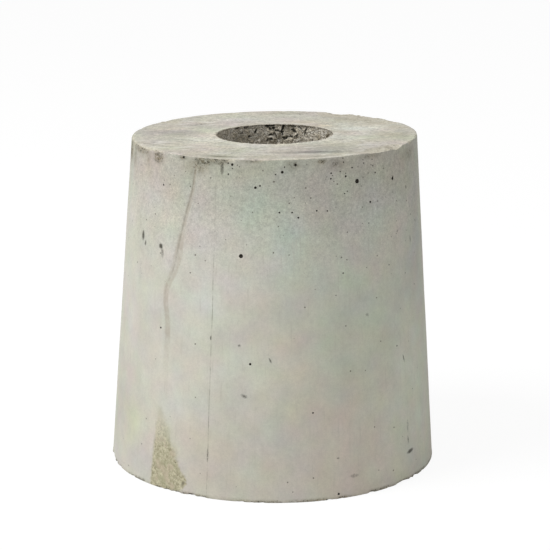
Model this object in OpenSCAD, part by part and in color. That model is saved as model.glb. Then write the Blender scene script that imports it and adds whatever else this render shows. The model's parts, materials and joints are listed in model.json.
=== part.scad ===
// Round tapered concrete base block for a column or post.
// A plain cone frustum cast on its wide foot, with its top struck off by hand
// and one post socket drawn right through it. Millimetres, +Z up, origin at the
// middle of the underside. Bearings turn from the front (-Y) towards +X.

/* [Block] */
// Diameter across the foot
foot_d = 400; // [320:5:520]
// Diameter across the struck top
top_d = 345; // [280:5:460]
// Height on the axis
block_h = 400; // [250:5:600]
// Slope of the struck top, rising towards +X, in degrees
top_slope = 1; // [0:0.1:2]

/* [Post socket] */
// Diameter of the socket
socket_d = 140; // [80:1:200]
// Wear round the socket's lower mouth, which is cast against the mould's board
tail_wear = 3; // [0.5:0.5:6]

/* [Outer edges] */
// Wear along the top arris
top_wear = 2.5; // [1:0.5:6]
// Wear along the foot arris
foot_wear = 2; // [1:0.5:6]

/* [Edge breaks] */
// Bearings of the breaks in the top arris, in degrees
top_break_bearings = [56, 151, -62]; // [-180:1:180]
// Length of arris that each top break takes
top_break_lengths = [38, 44, 52]; // [20:1:80]
// How deep each top break bites, square to the arris
top_break_bites = [3.5, 5, 3]; // [2:0.5:8]
// Bearings of the breaks in the foot arris, in degrees
foot_break_bearings = [52, -80, 168]; // [-180:1:180]
// Length of arris that each foot break takes
foot_break_lengths = [34, 48, 40]; // [20:1:80]
// How deep each foot break bites, square to the arris
foot_break_bites = [3, 4.5, 4]; // [2:0.5:8]

/* [Hidden] */

foot_r = foot_d / 2;
top_r = top_d / 2;
socket_r = socket_d / 2;
// Change of radius for each millimetre of height
taper = (top_r - foot_r) / block_h;
// Spare length by which a cutting tool passes the face it cuts
overrun = 20;
// Most that the sloping top rises above block_h, with the tool's spare length
over_top = foot_r * tan(top_slope) + overrun;
// Steps round a full turn, for the faceted preview only
$fn = 180;

// Radius of the cast side at a height
function side_r(z) = foot_r + taper * z;
// Radius of the ball that leaves a scoop this long and this deep in an edge
function scoop_r(length, bite) = (length * length / 4 + bite * bite) / (2 * bite);

// The cone as the mould leaves it, taller than the finished block
module cast_cone() {
    rotate_extrude()
        polygon([
            [0, 0],
            [foot_r - foot_wear, 0],
            [side_r(foot_wear), foot_wear],
            [side_r(block_h + over_top), block_h + over_top],
            [0, block_h + over_top],
        ]);
}

// Moves its children onto the sloping plane of the struck top
module on_struck_top() {
    translate([0, 0, block_h])
        rotate([0, -top_slope, 0])
            children();
}

// Everything that lies under the struck top and inside its worn arris
module under_struck_top() {
    on_struck_top()
        rotate_extrude()
            polygon([
                [0, -block_h - over_top],
                [foot_r + overrun, -block_h - over_top],
                [foot_r + overrun, top_r - foot_r - top_wear - overrun],
                [top_r - top_wear, 0],
                [0, 0],
            ]);
}

// The post socket, crisp at the struck top and worn at the foot
module socket() {
    translate([0, 0, -overrun])
        cylinder(r = socket_r, h = block_h + over_top + 2 * overrun);
    translate([0, 0, -overrun])
        cylinder(r1 = socket_r + tail_wear + overrun, r2 = socket_r, h = tail_wear + overrun);
}

// One scooped break, with its deepest point on the diagonal of an arris.
// up is 1 for the top arris and -1 for the foot arris.
module edge_break(bearing, arris_r, up, length, bite) {
    ball_r = scoop_r(length, bite);
    out = (ball_r - bite) / sqrt(2);
    rotate([0, 0, bearing - 90])
        translate([arris_r + out, 0, up * out])
            sphere(r = ball_r);
}

module edge_breaks() {
    for (i = [0 : len(top_break_bearings) - 1])
        on_struck_top()
            edge_break(top_break_bearings[i], top_r, 1, top_break_lengths[i], top_break_bites[i]);
    for (i = [0 : len(foot_break_bearings) - 1])
        edge_break(foot_break_bearings[i], foot_r, -1, foot_break_lengths[i], foot_break_bites[i]);
}

module base_block() {
    color("#bdbbae")
        difference() {
            intersection() {
                cast_cone();
                under_struck_top();
            }
            socket();
            edge_breaks();
        }
}

base_block();
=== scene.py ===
"""Column base block: a tapered round block of cast concrete with a post socket.

The block is one closed skin in millimetres, laid out by bearing (degrees, from the
front towards +X) and by run (the distance along the half section). The skin is made
fine where there is relief to carve, carved, and then turned into metres.
"""

import json
import math
import random

import bpy
import numpy as np
from mathutils import Euler, Matrix, Vector, noise


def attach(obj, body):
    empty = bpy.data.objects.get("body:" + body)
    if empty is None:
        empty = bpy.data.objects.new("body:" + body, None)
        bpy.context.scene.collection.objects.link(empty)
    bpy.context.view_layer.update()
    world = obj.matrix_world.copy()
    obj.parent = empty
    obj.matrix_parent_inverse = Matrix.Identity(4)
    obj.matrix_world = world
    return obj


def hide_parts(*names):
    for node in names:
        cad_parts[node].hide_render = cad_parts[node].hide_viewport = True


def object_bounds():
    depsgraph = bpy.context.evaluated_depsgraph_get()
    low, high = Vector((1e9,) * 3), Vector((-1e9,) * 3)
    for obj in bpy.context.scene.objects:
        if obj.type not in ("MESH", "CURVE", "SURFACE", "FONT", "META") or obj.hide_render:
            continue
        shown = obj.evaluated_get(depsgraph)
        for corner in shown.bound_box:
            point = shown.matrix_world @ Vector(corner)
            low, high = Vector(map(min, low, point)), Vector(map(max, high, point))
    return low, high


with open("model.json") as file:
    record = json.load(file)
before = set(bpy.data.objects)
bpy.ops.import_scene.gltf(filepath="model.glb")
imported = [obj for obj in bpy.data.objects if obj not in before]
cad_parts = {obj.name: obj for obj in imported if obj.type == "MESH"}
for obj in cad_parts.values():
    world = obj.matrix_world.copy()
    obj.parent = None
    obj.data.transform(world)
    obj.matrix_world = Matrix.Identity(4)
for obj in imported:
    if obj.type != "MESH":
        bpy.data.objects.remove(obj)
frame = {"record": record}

cad_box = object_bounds()
MM = 0.001
mounts = {mount["name"]: mount for mount in frame["record"]["mounts"]}

# ------------------------------------------------------------------ sizes, mm
FOOT_R = 200.0
TOP_R = 172.5
TOP_Z = mounts["struck_top"]["pos_m"][2] / MM
TOP_AXIS = mounts["struck_top"]["axis"]
TOP_RISE = -TOP_AXIS[0] / TOP_AXIS[2]
SOCKET_R = mounts["post_socket"]["dims"]["r_mm"]
TAPER = (TOP_R - FOOT_R) / TOP_Z
FOOT_WEAR = 1.2
TOP_WEAR = 2.4
MOUTH_WEAR = 1.0
TAIL_WEAR = 3.0

# The larger air holes in the front: bearing, height and radius of the opening
AIR_HOLES = [
    (-12, 289, 2.5), (33, 371, 2.7), (52, 367, 2.0), (-16, 393, 1.6), (-7, 368, 1.6),
    (8, 394, 1.6), (3, 386, 1.7), (28, 378, 1.3), (39, 345, 1.4), (-37, 396, 1.5), (-47, 360, 1.2),
    (9, 334, 1.2), (2, 340, 1.1), (16, 341, 1.1), (42, 378, 1.1), (-45, 192, 1.3), (-8, 164, 1.5),
    (14, 106, 1.1), (51, 168, 1.0), (48, 267, 0.9), (23, 6, 1.5),
]
# Finer air holes on the front: how many, and radii
FINE_HOLES = 34
FINE_RADII = (0.6, 1.1)
# Stray air holes on the sides and back: how many, and radii
STRAY_HOLES = 165
STRAY_RADII = (0.6, 2.2)
FRONT = 78.0  # bearings this near the front have no stray holes

# Breaks in the arrises: bearing, length of arris taken and bite, square to it
TOP_BREAKS = [(57, 22, 2.0), (151, 44, 3.8), (149.6, 11, 3.4), (-62, 52, 3)]
FOOT_BREAKS = [(52, 34, 2.6), (-80, 44, 3.4), (168, 40, 4)]
# Small nicks in the foot arris: bearing, length and bite
FOOT_NICKS = [
    (60, 14, 2.4), (57, 8, 2.2), (50, 12, 1.4), (44, 7, 1.2), (36, 12, 2.0), (33, 6, 1.1),
    (24, 12, 1.3), (17, 8, 0.9), (-28, 26, 2.6), (-34, 10, 2.0), (-38, 12, 1.8), (-57, 8, 1.5),
    (-68, 10, 1.6), (-73, 12, 2.2), (-24, 9, 1.6), (6, 6, 0.7), (66, 8, 1.4),
]
# Small chips along each arris: whether it is the top one, how many, least size, how
# much larger they come, most length for a size, and bite for a size and at least
CHIPS = [(True, 130, 1.1, 3.2, 5.0, 0.6, 0.3), (False, 70, 0.8, 2.6, 6.0, 0.5, 0.2)]
NEAT_ARRIS, NEAT_SHARE = (-4, 38), 0.45  # bearings where the top chips are smaller
# Spalls in the struck top: x, y, radius and depth
TOP_SPALLS = [
    (104, 112, 30, 1.4), (128, 84, 24, 1.2), (72, 138, 20, 1.4), (146, 40, 14, 0.7),
    (84, 104, 16, 0.9), (-69, -107, 7, 0.7), (-61, -82, 9, 0.9), (-50, -86, 6, 0.7),
    (70, -134, 9, 0.6), (141, -97, 15, 2.8), (124, -120, 26, 1.8), (-96, -128, 12, 0.8),
    (-128, 92, 16, 0.8),
]
TOP_PITS = [
    (-91, 80, 1.8), (32, 146, 1.5), (-20, -118, 0.8), (140, -20, 1.0), (128, -112, 1.1),
    (135, -103, 1.0), (140, -83, 0.9), (122, -82, 0.8),
]

# Socket wall: size of its stones and crumbs, and the open gaps among them: bearing,
# distance below the mouth, length, lean in degrees and radius
STONE_MM, CRUMB_MM = 8.5, 4.6
SOCKET_GAPS = [
    (-175, 2.4, 10, 0, 1.5), (-177, 6.5, 5, 10, 1.6), (172, 8, 9, 80, 1.9),
    (176.5, 9.5, 7, -15, 1.2), (-178, 13.5, 8, 10, 1.2), (161.5, 3, 7, -10, 1.4),
    (160.5, 8.5, 6, -30, 1.6), (154, 4.5, 5, -30, 1.3), (148, 9, 8, 75, 1.4),
    (158, 15.5, 4, 30, 1.7), (170, 18, 4, 0, 1.9), (165, 17, 6, 10, 1.3), (-140, 3, 6, 8, 1.3),
    (-150, 3.4, 5, 8, 1.2), (-161, 9, 5, 60, 1.3), (-155, 14.5, 4, 0, 1.3), (-146, 10, 4, 30, 1.1),
    (185, 20, 6, 20, 1.4), (122, 20, 6, 70, 1.9), (64, 14, 10, 70, 2.4), (22, 10, 9, -20, 2.2),
    (-32, 16, 12, 10, 2.4), (-84, 10, 9, 60, 2.4), (95, 32, 14, 10, 3.0), (-10, 36, 16, 60, 3.0),
    (196, 42, 14, -30, 3.2), (140, 48, 12, 20, 3.0), (-60, 54, 14, 75, 3.2),
]
MOUTH_CRUMBS = 70

# Middle line of the crease: height, bearing; and its half width
CREASE_HEIGHTS = [0, 131, 165, 205, 229, 246, 264, 281, 300, 321, 348, 371, 387, 400]
CREASE_BEARINGS = [-42, -42, -41.4, -41.5, -43.6, -42.2, -39.2, -37.9, -36.9, -35.7,
                   -32.9, -31.7, -31.0, -30.6]
CREASE_HALF = [3, 4, 4.4, 4.8, 4.4, 5.0, 6.4, 6.4, 4.8, 2.8, 3.4, 2.2, 1.4, 1.2]
EASING = (-10, -5, 0, 5, 10)
# The mould closes on two seams: bearing at the foot and at the top
SEAMS = [(-22.7, -22.3), (157.6, 159.2)]
# Rough patch where the mould leaked at the foot: bearing, height of its corners
LEAK_CORNERS = [
    (-44.4, 97), (-45.3, 74), (-45.8, 55), (-46.6, 20), (-46.8, -6), (-37, -6), (-33, 4),
    (-30.6, 12), (-31.8, 20), (-33.9, 34), (-35.4, 51), (-37.2, 62), (-39.4, 79), (-42.8, 97),
]
# Dark drag marks and soft blots: bearing, height, half width, half height, lean in
# degrees and strength
MARKS = [
    (-59, 294, 3.2, 6.5, 0, 0.9), (-57, 286, 2.0, 3.4, -10, 0.8), (-47, 288, 3.4, 3.4, 20, 1.0),
    (-46, 281, 2.6, 8.0, 8, 0.55), (-20, 388, 2.6, 7.5, 0, 0.75), (-10, 126, 4.8, 2.4, -24, 0.6),
    (-12, 185, 2.0, 1.7, 0, 0.7), (-1, 169, 1.3, 3.4, 24, 0.75), (57, 34, 7.8, 2.6, 7, 0.9),
    (56, 66, 2.4, 9.0, 0, 0.45), (56, 49, 2.2, 6.0, 6, 0.55), (55, 150, 1.2, 5.5, 18, 0.7),
    (29, 25, 6.5, 2.6, 0, 0.5), (23, 49, 2.0, 1.2, 0, 0.7), (36, 214, 3.0, 2.6, 0, 0.5),
    (54, 304, 2.6, 1.3, 26, 0.6), (64, 289, 1.0, 4.5, 0, 0.95), (62, 352, 1.1, 2.4, 10, 0.95),
    (-60, 250, 0.8, 24, 1, 0.3), (-58, 120, 0.9, 28, 0, 0.3), (-32, 12, 2.4, 5.0, -24, 0.55),
    (-22.7, 191, 0.9, 2.8, 0, 0.9), (-22.7, 52, 0.9, 9.0, 0, 0.65),
]
# Grime under the top arris: bearing, height, half width, half height and strength
GRIME = [
    (-80, 385, 12, 13, 1.0), (-66, 393, 28, 5, 0.75), (-51, 391, 10, 7, 1.0),
    (-72, 380, 7, 12, 0.5), (-58, 386, 6, 9, 0.4), (-37.6, 396, 6, 3, 0.8),
    (-28, 395, 14, 6.5, 1.0), (-21, 396.5, 12, 4.5, 0.9), (-30, 388, 16, 10, 0.5),
    (-8, 398, 16, 2.5, 0.5), (7, 394, 9, 6, 0.5), (18.4, 397, 6, 2.6, 1.0), (24, 393, 10, 7, 0.5),
    (40, 398, 16, 3, 0.5), (66, 390, 14, 8, 0.5), (140, 388, 30, 10, 0.5), (-125, 390, 40, 8, 0.5),
    (-158, 386, 12, 9, 0.6), (100, 391, 20, 7, 0.5), (170, 394, 14, 5, 0.7),
    (-100, 386, 12, 12, 0.6),
]
# Broad stains. Each ends in how pale, pink and yellow it is against the plain paste,
# in steps of a shade out of 255; negative is darker, greener and bluer.
# On the side: bearing, height, half width and half height
SIDE_STAINS = [
    (-60, 385, 55, 32, -3, 5, 0), (-46, 350, 26, 30, -1, 4, -1), (35, 390, 80, 22, 3, 2, -1),
    (-7, 350, 32, 34, 0, -8, 2), (-10, 388, 26, 14, -7, 0, 2), (20, 250, 34, 60, 0, -3, 1),
    (4, 298, 34, 36, 2, -6, 0), (-31, 305, 28, 36, 4, 3, -3), (-7, 240, 28, 26, 4, 5, -2),
    (-26, 230, 26, 34, 4, -2, -2), (43, 212, 34, 30, -3, -5, 1), (29, 250, 34, 26, 0, -3, 0),
    (-58, 180, 60, 44, 1, 3, -2), (-12, 160, 28, 28, 3, -3, 1), (4, 190, 22, 22, 4, 4, 0),
    (9, 146, 20, 24, 2, 5, 2), (22, 95, 34, 34, 0, 6, -1), (16, 170, 26, 34, 0, -3, 1),
    (26, 35, 70, 48, -1, 9, -2), (-22, 42, 50, 48, -1, 7, -1), (-60, 105, 40, 36, -3, 4, -2),
    (-55, 25, 44, 26, -2, 3, -2), (-58, 66, 26, 26, -1, 0, 5), (58, 110, 50, 100, 2, -3, 1),
    (48, 200, 130, 280, 0, 0, 4), (58, 380, 44, 24, -5, 2, 2), (40, 330, 80, 52, -1, 0, -4),
    (62, 250, 44, 60, -6, 0, -4), (76, 270, 34, 130, -8, 0, 0), (-20, 262, 44, 44, 3, 0, -3),
    (8, 114, 18, 22, 0, 0, 3), (-14, 212, 58, 74, 5, 0, 0), (-26, 130, 52, 46, 4, 0, 0),
    (-74, 60, 30, 74, -9, 0, 0), (-56, 282, 44, 40, -6, 0, 0), (-60, 70, 26, 34, 0, 0, 4),
    (-33, 392, 30, 12, -4, 0, 4), (20, 352, 90, 30, 3, 0, 0), (70, 320, 26, 80, -8, 0, -2),
    (120, 300, 90, 60, -2, -3, 1), (170, 210, 80, 70, 3, 4, -2), (-130, 240, 70, 80, 2, -3, 2),
    (150, 90, 90, 50, -3, 3, 2), (-110, 90, 60, 60, -3, 2, 3), (-165, 340, 60, 40, -2, -4, 0),
]
# On the struck top: x, y, half length, half width and heading in degrees
TOP_STAINS = [
    (-98, 72, 34, 9, 20, -15, 0, 0), (-126, 26, 26, 12, -10, -22, 0, -1),
    (-106, 10, 22, 14, 0, -20, -1, 0), (-52, 112, 30, 12, 8, 9, -2, -5),
    (-84, -22, 18, 44, 0, 16, 2, 0), (-152, -10, 16, 50, 0, -8, 4, -2),
    (104, 34, 28, 15, 8, 31, -11, -6), (140, -12, 26, 22, 60, -14, 1, 1),
    (104, 100, 30, 14, -40, -25, 0, 3), (46, -123, 42, 8, 3, -52, 0, 0),
    (60, -94, 46, 24, 6, -21, 1, -1), (-30, -83, 30, 7, 0, 14, 0, -2),
    (40, 85, 34, 16, -6, -4, 3, 5), (128, -62, 24, 20, 40, -9, 0, 0),
    (0, 150, 70, 10, 0, -8, 2, 0), (62, 55, 14, 12, 0, 0, 5, 6),
    (-80, -120, 34, 12, -20, -3, -1, 4), (78, 132, 30, 8, 24, -12, 0, 2),
    (0, -152, 90, 12, 0, -10, 0, 4), (-62, -146, 14, 6, -20, -32, 0, 2),
    (157, 0, 9, 55, 0, -13, 0, 1), (6, -78, 22, 6, 0, 14, 0, -1),
    (-64, -146, 30, 9, -22, -24, 0, 2), (111, -106, 26, 12, 40, -14, 0, 0),
    (52, -153, 22, 6, 18, -26, 0, 1), (-113, -17, 16, 22, 0, -11, 0, 0),
    (84, -31, 20, 16, 0, 12, 0, 0), (-87, -93, 18, 11, 0, -8, 0, 0),
]

# ------------------------------------------------------------------ camera
CAMERA_AT = (0.0, -2.461, 0.828)
CAMERA_DOWN = 13.79  # degrees below level
CAMERA_TURN = -0.04
CAMERA_ROLL = 0.38
LENS_MM = 134.84
SENSOR_MM = 36.0


def placed(name, data):
    """A new object in the scene that shows this data."""
    thing = bpy.data.objects.new(name, data)
    bpy.context.scene.collection.objects.link(thing)
    return thing


def set_camera():
    data = bpy.data.cameras.new("Camera")
    data.lens, data.sensor_width = LENS_MM, SENSOR_MM
    data.clip_start, data.clip_end = 0.05, 50.0
    camera = placed("Camera", data)
    camera.location = CAMERA_AT
    level = Euler((math.radians(90 - CAMERA_DOWN), 0, math.radians(CAMERA_TURN)))
    roll = Matrix.Rotation(math.radians(CAMERA_ROLL), 3, "Z")
    camera.rotation_euler = (level.to_matrix() @ roll).to_euler()
    bpy.context.scene.camera = camera


# ------------------------------------------------------------------ the skin
COLUMNS = 72
SIDE_EDGE, TOP_EDGE, PLAIN_EDGE = 10.5, 5.6, 18.0  # longest edges where nothing shows
DEEP_WALL_EDGE = 9.0  # longest edge deep in the socket
# Finer edges along lines: how far they hold, the edge there and its growth beyond
LINE_EDGES = {
    "top arris": (4, 1.9, 0.7), "foot arris": (4, 3.0, 0.9), "mouth": (2, 2.0, 0.7),
    "wall": (24, 1.8, 0.09),
    "crease": (5, 3.0, 0.9), "seam": (1, 2.6, 1.2), "leak": (2, 2.6, 0.9),
}
CREASE_LOW = 150  # height under which the crease has faded
FAR = 99.0  # mm, further off than any line reaches
FINEST, MOST_HALVINGS = 0.6, 24  # shortest edge asked for, mm, and rounds of halving
REACH = 10.0  # how far from a spot the skin goes back to its own edge length, mm


def side_r(z):
    """Radius of the cast side at a height."""
    return FOOT_R + TAPER * z


def rounded(start, corner, end, steps):
    """Stations round a worn arris, without its first point."""
    t = np.linspace(0, 1, steps + 1)[1:, None]
    start, corner, end = (np.array(p, float) for p in (start, corner, end))
    return (1 - t) ** 2 * start + 2 * t * (1 - t) * corner + t**2 * end


def straight(start, end, steps):
    """Stations along a straight face, without its first point."""
    t = np.linspace(0, 1, steps + 1)[1:, None]
    return (1 - t) * np.array(start, float) + t * np.array(end, float)


def half_section():
    """Stations (radius, height) round the half section, anticlockwise from the tail
    of the socket, and the number of the station where each face starts.

    Each row below holds the stations up to a face, under the name of that face."""
    tail, foot = (SOCKET_R + TAIL_WEAR, 0), (FOOT_R - FOOT_WEAR, 0)
    side_low, side_high = ((side_r(z), z) for z in (FOOT_WEAR, TOP_Z - TOP_WEAR))
    top_out, mouth = (TOP_R - TOP_WEAR, TOP_Z), (SOCKET_R + MOUTH_WEAR, TOP_Z)
    wall_high, wall_low = (SOCKET_R, TOP_Z - MOUTH_WEAR), (SOCKET_R, TAIL_WEAR)
    parts = [
        ("foot", [tail]),
        ("foot_arris", straight(tail, foot, 8)),
        ("side", rounded(foot, (FOOT_R, 0), side_low, 4)),
        ("top_arris", straight(side_low, side_high, 26)),
        ("top", rounded(side_high, (TOP_R, TOP_Z), top_out, 4)),
        ("mouth", straight(top_out, mouth, 9)),
        ("wall", rounded(mouth, (SOCKET_R, TOP_Z), wall_high, 2)),
        ("tail", straight(wall_high, wall_low, 26)),
    ]
    stations, starts = [], {}
    for name, points in parts:
        stations += [tuple(p) for p in points]
        starts[name] = len(stations) - 1
    return np.array(stations), starts


STATIONS, STARTS = half_section()
CLOSED = np.vstack([STATIONS, STATIONS[:1]])
RUNS = np.concatenate([[0], np.cumsum(np.linalg.norm(np.diff(CLOSED, axis=0), axis=1))])
LOOP = RUNS[-1]
RUN_AT = {name: RUNS[i] for name, i in STARTS.items()}
TOP_ARRIS = (RUN_AT["top_arris"] + RUN_AT["top"]) / 2
FOOT_ARRIS = (RUN_AT["foot_arris"] + RUN_AT["side"]) / 2


def run_at_height(height, bearing):
    """Run of a place on the cast side, from its height above the floor."""
    level = height / (1 + TOP_RISE * side_r(height) * math.sin(math.radians(bearing)) / TOP_Z)
    share = (level - FOOT_WEAR) / (TOP_Z - TOP_WEAR - FOOT_WEAR)
    return RUN_AT["side"] + share * (RUN_AT["top_arris"] - RUN_AT["side"])


def turned(start, end):
    """Shortest turn from one bearing to another."""
    return (end - start + 180.0) % 360.0 - 180.0


def stepped(start, end):
    """Shortest step from one run to another, round the closed section."""
    return (end - start + LOOP / 2) % LOOP - LOOP / 2


def place(bearing, run):
    """Points of the plain block, before any carving."""
    run = run % LOOP
    radius = np.interp(run, RUNS, CLOSED[:, 0])
    height = np.interp(run, RUNS, CLOSED[:, 1])
    a = np.radians(bearing)
    rise = height / TOP_Z * TOP_RISE * radius * np.sin(a)
    on_side = (run > RUN_AT["foot_arris"]) & (run < RUN_AT["top"])
    radius = radius + np.where(on_side, TAPER * rise, 0)
    return np.stack([radius * np.sin(a), -radius * np.cos(a), height + rise], 1)


def outward(bearing, run, reach=1.2):
    """Directions square to the plain block, blended over the arrises."""
    before, after = (
        np.stack([np.interp((run + d) % LOOP, RUNS, CLOSED[:, k]) for k in (0, 1)], 1)
        for d in (-reach, reach)
    )
    along = after - before
    along /= np.linalg.norm(along, axis=1, keepdims=True)
    a = np.radians(bearing)
    return np.stack([along[:, 1] * np.sin(a), -along[:, 1] * np.cos(a), -along[:, 0]], 1)


def fine_holes():
    """Small air holes in the front, thickest near the top and to the right."""
    pick = random.Random(7)
    holes = []
    for _ in range(FINE_HOLES):
        bearing = pick.triangular(-50, 62, 30)
        height = TOP_Z - 4 - 26 * pick.expovariate(1.0)
        holes.append((bearing, height, pick.uniform(*FINE_RADII)))
    return holes


def stray_holes():
    """Air holes in the sides and back, thicker near the top where air gathers."""
    pick = random.Random(11)
    holes = []
    while len(holes) < STRAY_HOLES:
        bearing = pick.uniform(-180, 180)
        height = TOP_Z - 5 - 60 * pick.expovariate(1.0)
        if abs(bearing) < FRONT or height < 8:
            continue
        low, high = STRAY_RADII
        holes.append((bearing, height, low + (high - low) * pick.random() ** 4))
    return holes


ALL_HOLES = AIR_HOLES + fine_holes() + stray_holes()


def top_place(x, y):
    """Bearing and run of a place on the struck top."""
    run = RUN_AT["top"] + (TOP_R - TOP_WEAR) - math.hypot(x, y)
    return math.degrees(math.atan2(x, -y)), run


def spots():
    """Places that need a fine skin: bearing, run, radius and the edge length there."""
    found = [(b, run_at_height(h, b), r * 1.1, max(0.62 * r, FINEST)) for b, h, r in ALL_HOLES]
    for bearing, height, wide, tall, lean, _ in MARKS:
        thin, long = sorted((wide, tall))
        if long > REACH:
            continue
        a = math.radians(lean)
        along = (math.cos(a), math.sin(a)) if wide > tall else (-math.sin(a), math.cos(a))
        for step in (-0.7, 0, 0.7) if long > 1.6 * thin else (0,):
            over, up = (step * long * part for part in along)
            turn = math.degrees(over / side_r(height))
            found.append((bearing + turn, run_at_height(height + up, bearing), thin * 1.3,
                          min(max(0.75 * thin, 1.0), 1.8)))
    for bearing, down, length, _, size in SOCKET_GAPS:
        found.append((bearing, RUN_AT["mouth"] + down, length * 0.5, 1.1 if size < 2 else 1.9))
    for x, y, size in TOP_PITS:
        found.append((*top_place(x, y), size * 1.1, 0.62 * size))
    for x, y, size, _ in TOP_SPALLS:
        found.append((*top_place(x, y), size, 3.4))
    return np.array(found)


SPOTS = spots()


def seam_bearing(seam, height):
    low, high = SEAMS[seam]
    return low + (high - low) * height / TOP_Z


def crease_bearing(height):
    """Middle line of the crease, with its bends eased."""
    eased = [np.interp(height + d, CREASE_HEIGHTS, CREASE_BEARINGS) for d in EASING]
    return sum(eased) / len(EASING)


def arc_mm(bearing, radius):
    return np.radians(bearing) * radius


def growing(off, still, finest, growth):
    """Edge length that stays finest within still of a line and then grows."""
    return finest + growth * np.maximum(off - still, 0)


def wanted_edge(bearing, run):
    """Longest edge allowed at each place, in millimetres."""
    p = place(bearing, run)
    radius, height = np.hypot(p[:, 0], p[:, 1]), p[:, 2]
    run = run % LOOP
    on_side = (run >= RUN_AT["side"]) & (run <= RUN_AT["top_arris"])
    on_wall = run >= RUN_AT["mouth"]
    on_top = (run > RUN_AT["top"]) & ~on_wall
    want = np.where(on_side, SIDE_EDGE, np.where(on_top, TOP_EDGE, PLAIN_EDGE))
    below = run - RUN_AT["mouth"]
    deep = np.minimum(growing(below, *LINE_EDGES["wall"]), DEEP_WALL_EDGE)
    want = np.where(on_wall, deep, want)
    crease = np.abs(arc_mm(turned(crease_bearing(height), bearing), radius))
    seam = np.abs(arc_mm(turned(seam_bearing(0, height), bearing), radius))
    leak = leak_distance(bearing, height, radius)
    lines = {
        "top arris": np.abs(stepped(run, TOP_ARRIS)),
        "foot arris": np.abs(stepped(run, FOOT_ARRIS)),
        "mouth": np.abs(below),
        "crease": np.where(on_side & (height > CREASE_LOW), crease, FAR),
        "seam": np.where(on_side, seam, FAR),
        "leak": np.where(on_side, leak, FAR),
    }
    for name, off in lines.items():
        want = np.minimum(want, growing(off, *LINE_EDGES[name]))
    order = np.argsort(run)
    in_order = run[order]
    for b, s, r, fine in SPOTS:
        low, high = np.searchsorted(in_order, (s - r - REACH, s + r + REACH))
        near = order[low:high]
        off = np.hypot(arc_mm(turned(b, bearing[near]), radius[near]), s - run[near])
        want[near] = np.minimum(want[near], growing(off, r, fine, 1.3))
    return want


def leak_distance(bearing, height, radius):
    """Signed distance to the edge of the leaked patch, negative inside, mm."""
    x = arc_mm(turned(-40, bearing), radius)
    corners = np.array([(math.radians(b + 40) * side_r(h), h) for b, h in LEAK_CORNERS])
    point = np.stack([x, height], 1)
    nearest = np.full(len(point), 1e9)
    inside = np.zeros(len(point), bool)
    for a, b in zip(corners, np.roll(corners, -1, 0)):
        edge, to = b - a, point - a
        t = np.clip((to @ edge) / (edge @ edge), 0, 1)
        nearest = np.minimum(nearest, np.linalg.norm(to - t[:, None] * edge, axis=1))
        crosses = (a[1] > point[:, 1]) != (b[1] > point[:, 1])
        at = a[0] + (point[:, 1] - a[1]) / (b[1] - a[1] + 1e-9) * (b[0] - a[0])
        inside ^= crosses & (point[:, 0] < at)
    return np.where(inside, -nearest, nearest)


def coarse_skin():
    """The first, even skin: bearing and run of each corner, and the triangles."""
    rows = len(STATIONS)
    column, row = np.meshgrid(np.arange(COLUMNS), np.arange(rows), indexing="ij")
    bearing = (column * 360.0 / COLUMNS - 180.0).ravel()
    run = RUNS[row].ravel()
    a = (column * rows + row).ravel()
    right = ((column + 1) % COLUMNS * rows + row).ravel()
    up = (column * rows + (row + 1) % rows).ravel()
    both = ((column + 1) % COLUMNS * rows + (row + 1) % rows).ravel()
    even = ((column + row) % 2 == 0).ravel()[:, None]
    first = np.where(even, np.stack([a, right, both], 1), np.stack([a, right, up], 1))
    second = np.where(even, np.stack([a, both, up], 1), np.stack([right, both, up], 1))
    return bearing, run, np.vstack([first, second])


def refined(bearing, run, tris):
    """Halves the longest edges of the skin until wanted_edge is met everywhere."""
    for _ in range(MOST_HALVINGS):
        p = place(bearing, run)
        length = np.linalg.norm(p[tris] - p[np.roll(tris, -1, 1)], axis=2)
        longest = length.argmax(1)
        every = np.arange(len(tris))
        tris = np.stack([tris[every, (longest + k) % 3] for k in range(3)], 1)
        start, end = tris[:, 0], tris[:, 1]
        middle = (bearing[start] + turned(bearing[start], bearing[end]) / 2,
                  run[start] + stepped(run[start], run[end]) / 2)
        too_long = length.max(1) > wanted_edge(*middle)
        if not too_long.any():
            break
        pairs = np.sort(np.stack([tris, np.roll(tris, -1, 1)], 2), 2).astype(np.int64)
        codes, edge = np.unique(pairs[..., 0] * len(bearing) + pairs[..., 1],
                                return_inverse=True)
        edge = edge.reshape(-1, 3)
        cut = np.zeros(len(codes), bool)
        cut[edge[too_long, 0]] = True
        while (caught := cut[edge].any(1) & ~cut[edge[:, 0]]).any():
            cut[edge[caught, 0]] = True
        fresh = np.full(len(codes), -1)
        fresh[cut] = len(bearing) + np.arange(cut.sum())
        one, two = codes[cut] // len(bearing), codes[cut] % len(bearing)
        bearing, run = (
            np.append(bearing, bearing[one] + turned(bearing[one], bearing[two]) / 2),
            np.append(run, (run[one] + stepped(run[one], run[two]) / 2) % LOOP),
        )
        halved = cut[edge[:, 0]]
        a, b, c = tris[halved].T
        middle = fresh[edge[halved, 0]]
        kept = [tris[~halved]]
        for u, v, between in ((c, a, fresh[edge[halved, 2]]), (b, c, fresh[edge[halved, 1]])):
            again = between >= 0
            kept.append(np.stack([u, v, middle], 1)[~again])
            kept.append(np.stack([u, between, middle], 1)[again])
            kept.append(np.stack([between, v, middle], 1)[again])
        tris = np.vstack(kept)
    return bearing, run, tris


# ------------------------------------------------------------------ carving
FULL_MARK = 0.6  # mm carved away at which a scoop's mark is full
RIM_PULL = 1.05  # share of the way to a rim that the corners near it are drawn


def smooth(value, low, high):
    """0 below low, 1 above high and a soft step between."""
    t = np.clip((value - low) / (high - low), 0, 1)
    return t * t * (3 - 2 * t)


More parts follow.
